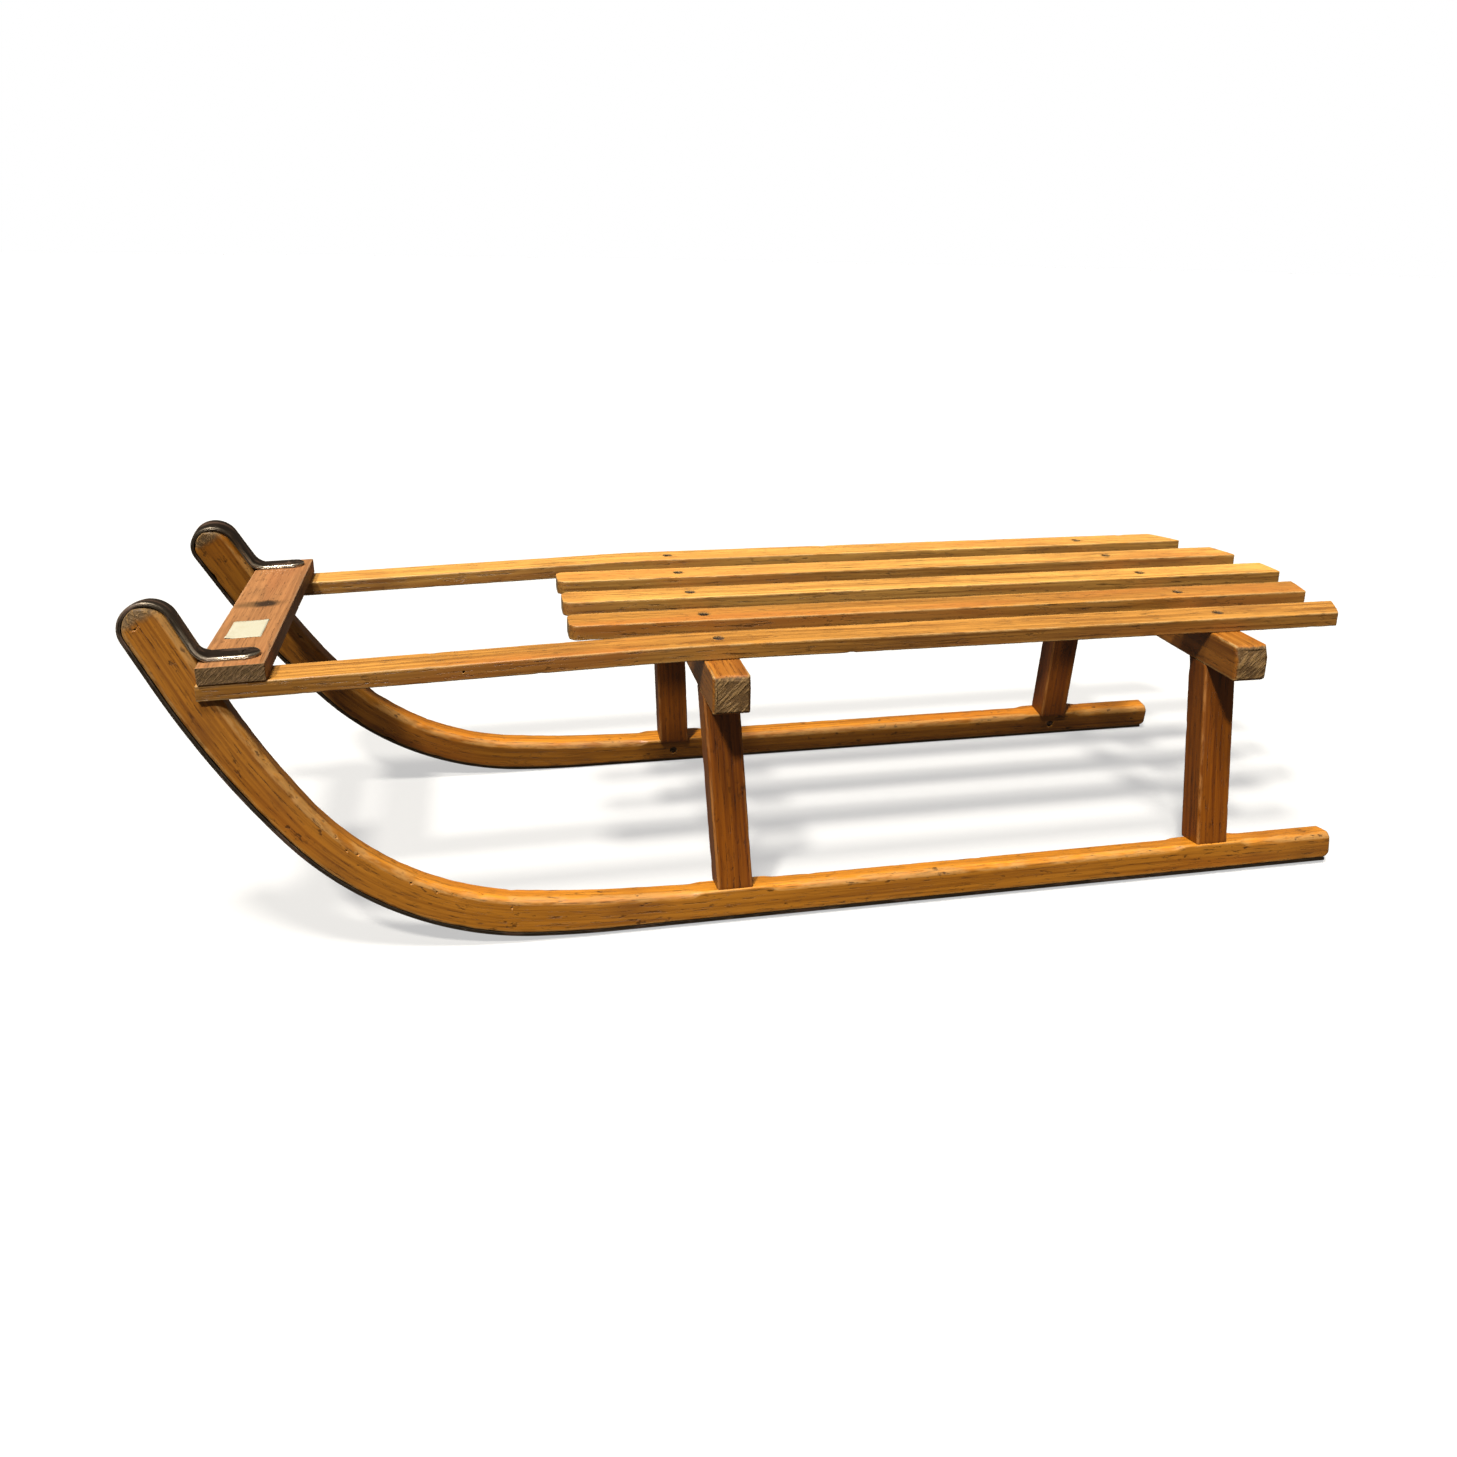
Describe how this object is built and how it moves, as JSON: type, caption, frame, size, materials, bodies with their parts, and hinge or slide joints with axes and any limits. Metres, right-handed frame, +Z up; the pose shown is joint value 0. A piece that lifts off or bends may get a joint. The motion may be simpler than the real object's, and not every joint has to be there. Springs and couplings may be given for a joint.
{
  "type": "slatted wooden sled",
  "caption": "Wooden sled with bent horned runners shod in steel strip, splayed legs, crossbars, a slatted seat and a front board.",
  "frame": {"origin": "on the ground under the middle of the sled's box", "axes": "+X forward to the horns, +Y to the sled's left, +Z up"},
  "size_m": [1.1112, 0.4, 0.3068],
  "materials": {
    "runner_wood": "worn varnish",
    "leg_wood": "satin varnish",
    "bar_wood": "satin varnish, rough sawn ends",
    "slat_wood": "satin varnish",
    "board_wood": "matt varnish",
    "strip_steel": "dark patina",
    "screw_steel": "dull, rusty",
    "paper": "matt paper"
  },
  "bodies": {
    "root": {"runner_left": "runner_wood", "runner_right": "runner_wood", "steel_strip_left": "strip_steel", "steel_strip_right": "strip_steel", "leg_front_left": "leg_wood", "leg_front_right": "leg_wood", "leg_rear_left": "leg_wood", "leg_rear_right": "leg_wood", "crossbar_front": "bar_wood", "crossbar_rear": "bar_wood", "slat_outer_left": "slat_wood", "slat_inner_left": "slat_wood", "slat_centre": "slat_wood", "slat_inner_right": "slat_wood", "slat_outer_right": "slat_wood", "front_board": "board_wood", "seat_screws_front": "screw_steel", "seat_screws_rear": "screw_steel", "leg_screws_left": "screw_steel", "leg_screws_right": "screw_steel", "strip_screws_left": "screw_steel", "strip_screws_right": "screw_steel", "tongue_bolts": "screw_steel", "tongue_nuts": "screw_steel", "paper_label": "paper"}
  },
  "joints": []
}
